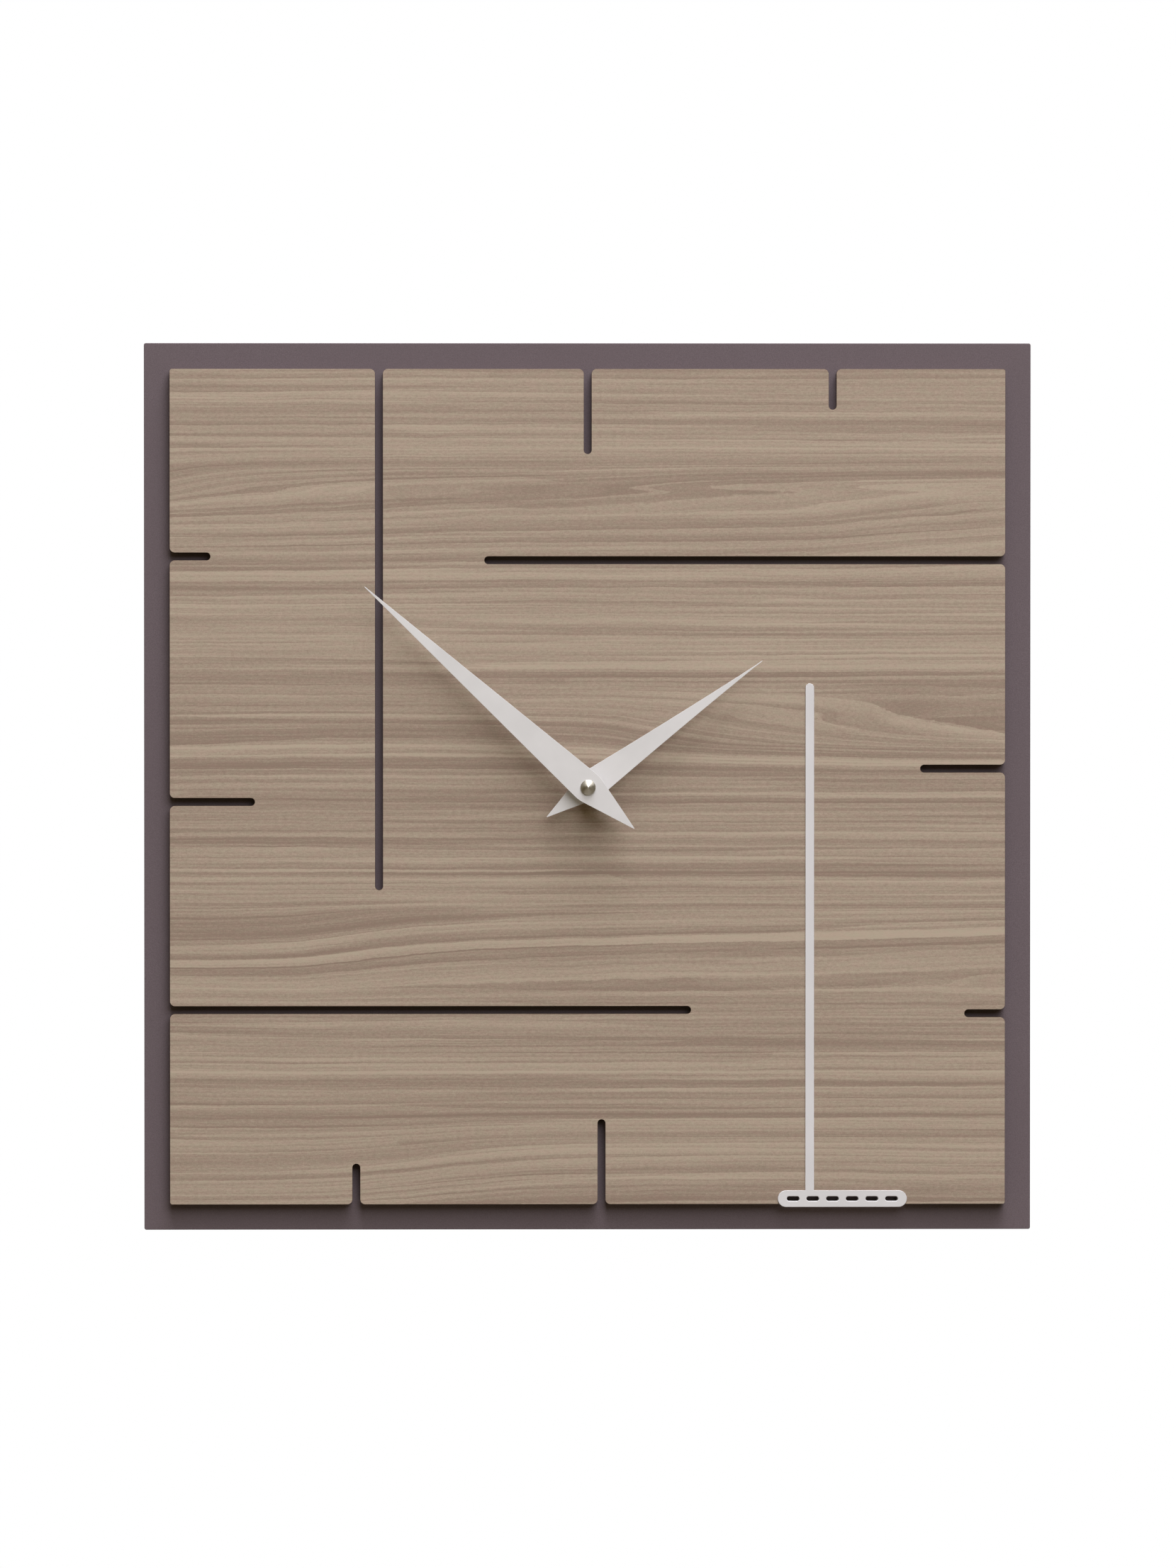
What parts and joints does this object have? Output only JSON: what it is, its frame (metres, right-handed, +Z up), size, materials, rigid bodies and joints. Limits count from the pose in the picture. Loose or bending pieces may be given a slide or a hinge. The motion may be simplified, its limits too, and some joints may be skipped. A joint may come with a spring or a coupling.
{
  "type": "wall clock",
  "caption": "Square wall clock: slotted wood-veneer face on a dark plate, pale tapered hands and strip, battery quartz movement, battens and keyhole hanger behind.",
  "frame": {"origin": "the hands' axis at the wall plane, where the wall pads touch the wall", "axes": "+Y runs from the face into the wall along the hands' axis, +X is right seen from the front, +Z is up"},
  "size_m": [0.45, 0.0485, 0.45],
  "materials": {
    "veneer": "matte",
    "lacquer": "matte",
    "pale_acrylic": "satin",
    "hand_paint": "matte",
    "pine": "matte",
    "felt": "matte",
    "steel": "satin",
    "brass": "satin",
    "copper": "satin",
    "rubber": "matte",
    "case_plastic": "satin",
    "wheel_plastic": "satin",
    "knob_plastic": "satin",
    "circuit": "satin",
    "epoxy": "gloss",
    "magnet": "satin",
    "battery_wrapper": "satin"
  },
  "bodies": {
    "clock_body": {"face_panel": "veneer", "back_plate": "lacquer", "accent_strip": "pale_acrylic", "batten_top": "pine", "batten_bottom": "pine", "batten_left": "pine", "batten_right": "pine", "wall_pad_1": "felt", "wall_pad_2": "felt", "wall_pad_3": "felt", "wall_pad_4": "felt", "batten_screw_1": "steel", "batten_screw_2": "steel", "batten_screw_3": "steel", "batten_screw_4": "steel", "batten_screw_5": "steel", "batten_screw_6": "steel", "batten_screw_7": "steel", "batten_screw_8": "steel", "hanger_plate": "steel", "hanger_screw_1": "steel", "hanger_screw_2": "steel", "positive_contact": "steel", "negative_contact": "steel", "quartz_crystal": "steel", "stator": "steel", "washer": "brass", "hex_nut": "brass", "coil_winding": "copper", "gasket": "rubber", "case_front": "case_plastic", "case_back": "case_plastic", "train_plate": "wheel_plastic", "coil_bobbin": "wheel_plastic", "circuit_board": "circuit", "chip": "epoxy"},
    "minute_assembly": {"minute_hand": "hand_paint", "cap_nut": "steel", "minute_shaft": "brass"},
    "hour_assembly": {"hour_hand": "hand_paint", "hour_wheel": "brass"},
    "setting_assembly": {"setting_wheel": "wheel_plastic", "setting_knob": "knob_plastic"},
    "rotor": {"rotor_magnet": "magnet", "rotor_pinion": "wheel_plastic"},
    "intermediate": {"intermediate_wheel": "wheel_plastic"},
    "second": {"second_wheel": "wheel_plastic"},
    "third": {"third_wheel": "wheel_plastic"},
    "centre": {"centre_wheel": "wheel_plastic"},
    "cell": {"battery": "battery_wrapper"}
  },
  "joints": [
    {"name": "minute_hand_turn", "type": "hinge", "parent": "clock_body", "child": "minute_assembly", "pos_m": [0, -0.045, 0], "axis": [0, 1, 0], "continuous": true},
    {"name": "hour_hand_turn", "type": "hinge", "parent": "clock_body", "child": "hour_assembly", "pos_m": [0, -0.0405, 0], "axis": [0, 1, 0], "continuous": true},
    {"name": "setting_knob_turn", "type": "hinge", "parent": "clock_body", "child": "setting_assembly", "pos_m": [-0.012, -0.004, 0], "axis": [0, 1, 0], "continuous": true},
    {"name": "intermediate_turn", "type": "hinge", "parent": "clock_body", "child": "intermediate", "pos_m": [0.00677, -0.009, 0.00246], "axis": [0, 1, 0], "continuous": true},
    {"name": "rotor_turn", "type": "hinge", "parent": "clock_body", "child": "rotor", "pos_m": [0.01366, -0.007, 0.00368], "axis": [0, 1, 0], "continuous": true},
    {"name": "second_wheel_turn", "type": "hinge", "parent": "clock_body", "child": "second", "pos_m": [0, -0.01, 0], "axis": [0, 1, 0], "continuous": true},
    {"name": "third_wheel_turn", "type": "hinge", "parent": "clock_body", "child": "third", "pos_m": [-0.00188, -0.0115, 0.01064], "axis": [0, 1, 0], "continuous": true},
    {"name": "centre_wheel_turn", "type": "hinge", "parent": "clock_body", "child": "centre", "pos_m": [0, -0.0127, 0], "axis": [0, 1, 0], "continuous": true},
    {"name": "cell_slide", "type": "slide", "parent": "clock_body", "child": "cell", "axis": [0, 1, 0], "range_m": [0, 0.03]}
  ],
  "couplings": [
    {"joint": "hour_hand_turn", "follows": "minute_hand_turn", "ratio": 0.083333},
    {"joint": "setting_knob_turn", "follows": "minute_hand_turn", "ratio": -0.33333},
    {"joint": "rotor_turn", "follows": "intermediate_turn", "ratio": -6},
    {"joint": "second_wheel_turn", "follows": "intermediate_turn", "ratio": -0.2},
    {"joint": "third_wheel_turn", "follows": "intermediate_turn", "ratio": 0.026667},
    {"joint": "centre_wheel_turn", "follows": "intermediate_turn", "ratio": -0.0033333}
  ]
}
